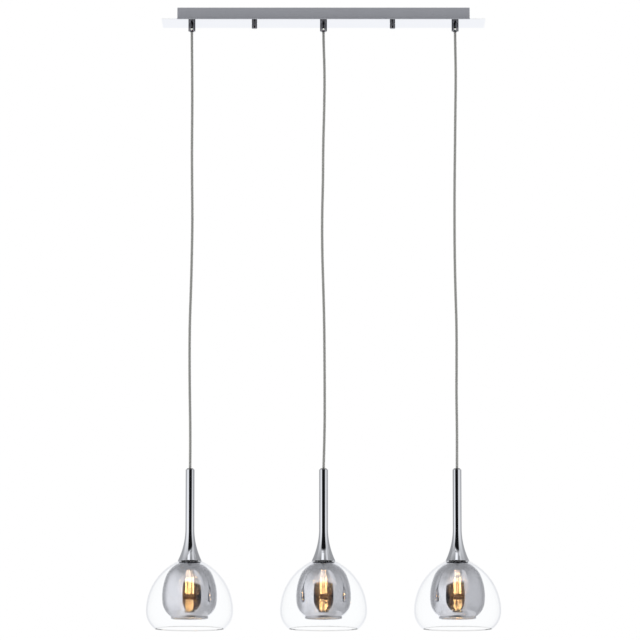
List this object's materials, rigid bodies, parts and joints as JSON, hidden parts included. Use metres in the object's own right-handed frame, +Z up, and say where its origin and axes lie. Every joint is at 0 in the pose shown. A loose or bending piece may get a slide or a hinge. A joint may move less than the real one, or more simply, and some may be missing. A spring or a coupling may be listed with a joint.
{
  "type": "pendant light",
  "caption": "Bar pendant light: chrome ceiling plate with clear cords that carry trumpet stems, each with a clear bell glass over a smoked mirror glass and a round filament bulb.",
  "frame": {"origin": "middle of the channel's upper face, which lies against the ceiling", "axes": "+Z up into the ceiling, +X along the bar to the right as seen from the front, -Y towards the viewer"},
  "size_m": [0.649, 0.159, 1.1521],
  "materials": {
    "painted_grey": "satin grey lacquer on folded steel",
    "polished_chrome": "mirror polished",
    "zinc_steel": "zinc plated",
    "white_nylon": "plain moulded",
    "clear_cord": "clear sheath over tinned wires",
    "black_rubber": "moulded",
    "brass": "plain turned",
    "black_plastic": "fine moulded",
    "clear_glass": "clear blown, fire-polished rim",
    "smoked_glass": "half-mirrored smoke coating",
    "nickel_steel": "nickel plated",
    "bulb_glass": "clear",
    "filament": "lit amber filament sticks on a glass mount"
  },
  "bodies": {
    "canopy": {"ceiling_channel": "painted_grey", "cover_plate": "polished_chrome", "plate_studs": "zinc_steel", "cap_nuts": "polished_chrome", "left_grip": "polished_chrome", "middle_grip": "polished_chrome", "right_grip": "polished_chrome", "grip_locknuts": "zinc_steel", "clamp_screws": "white_nylon", "canopy_leads": "clear_cord", "supply_bush": "black_rubber", "earth_stud": "brass", "terminal_block": "white_nylon", "terminal_screws": "brass"},
    "left_flex": {"left_cord_flex": "clear_cord"},
    "left_hang": {"left_cord": "clear_cord"},
    "left_lamp": {"left_stem": "polished_chrome", "left_stem_bush": "black_plastic", "left_stem_lead": "clear_cord", "left_nipple": "zinc_steel", "left_lampholder": "black_plastic", "left_socket_contacts": "brass", "left_shade_gaskets": "black_rubber", "left_outer_shade": "clear_glass", "left_inner_shade": "smoked_glass", "left_shade_ring": "black_plastic", "left_bulb_cap": "nickel_steel", "left_bulb_glass": "bulb_glass", "left_bulb_filaments": "filament"},
    "middle_flex": {"middle_cord_flex": "clear_cord"},
    "middle_hang": {"middle_cord": "clear_cord"},
    "middle_lamp": {"middle_stem": "polished_chrome", "middle_stem_bush": "black_plastic", "middle_stem_lead": "clear_cord", "middle_nipple": "zinc_steel", "middle_lampholder": "black_plastic", "middle_socket_contacts": "brass", "middle_shade_gaskets": "black_rubber", "middle_outer_shade": "clear_glass", "middle_inner_shade": "smoked_glass", "middle_shade_ring": "black_plastic", "middle_bulb_cap": "nickel_steel", "middle_bulb_glass": "bulb_glass", "middle_bulb_filaments": "filament"},
    "right_flex": {"right_cord_flex": "clear_cord"},
    "right_hang": {"right_cord": "clear_cord"},
    "right_lamp": {"right_stem": "polished_chrome", "right_stem_bush": "black_plastic", "right_stem_lead": "clear_cord", "right_nipple": "zinc_steel", "right_lampholder": "black_plastic", "right_socket_contacts": "brass", "right_shade_gaskets": "black_rubber", "right_outer_shade": "clear_glass", "right_inner_shade": "smoked_glass", "right_shade_ring": "black_plastic", "right_bulb_cap": "nickel_steel", "right_bulb_glass": "bulb_glass", "right_bulb_filaments": "filament"}
  },
  "joints": [
    {"name": "left_sideways", "type": "hinge", "parent": "canopy", "child": "left_flex", "pos_m": [-0.245, 0, -0.042], "axis": [0, 1, 0], "range_deg": [-2, 20]},
    {"name": "left_swing", "type": "hinge", "parent": "left_flex", "child": "left_hang", "pos_m": [-0.245, 0, -0.056], "axis": [1, 0, 0], "range_deg": [-25, 25]},
    {"name": "left_height", "type": "slide", "parent": "left_hang", "child": "left_lamp", "axis": [0, 0, 1], "range_m": [0, 0.5], "deforming": ["left_cord"]},
    {"name": "middle_sideways", "type": "hinge", "parent": "canopy", "child": "middle_flex", "pos_m": [0, 0, -0.042], "axis": [0, 1, 0], "range_deg": [-2, 2]},
    {"name": "middle_swing", "type": "hinge", "parent": "middle_flex", "child": "middle_hang", "pos_m": [0, 0, -0.056], "axis": [1, 0, 0], "range_deg": [-25, 25]},
    {"name": "middle_height", "type": "slide", "parent": "middle_hang", "child": "middle_lamp", "axis": [0, 0, 1], "range_m": [0, 0.5], "deforming": ["middle_cord"]},
    {"name": "right_sideways", "type": "hinge", "parent": "canopy", "child": "right_flex", "pos_m": [0.245, 0, -0.042], "axis": [0, 1, 0], "range_deg": [-20, 2]},
    {"name": "right_swing", "type": "hinge", "parent": "right_flex", "child": "right_hang", "pos_m": [0.245, 0, -0.056], "axis": [1, 0, 0], "range_deg": [-25, 25]},
    {"name": "right_height", "type": "slide", "parent": "right_hang", "child": "right_lamp", "axis": [0, 0, 1], "range_m": [0, 0.5], "deforming": ["right_cord"]}
  ]
}
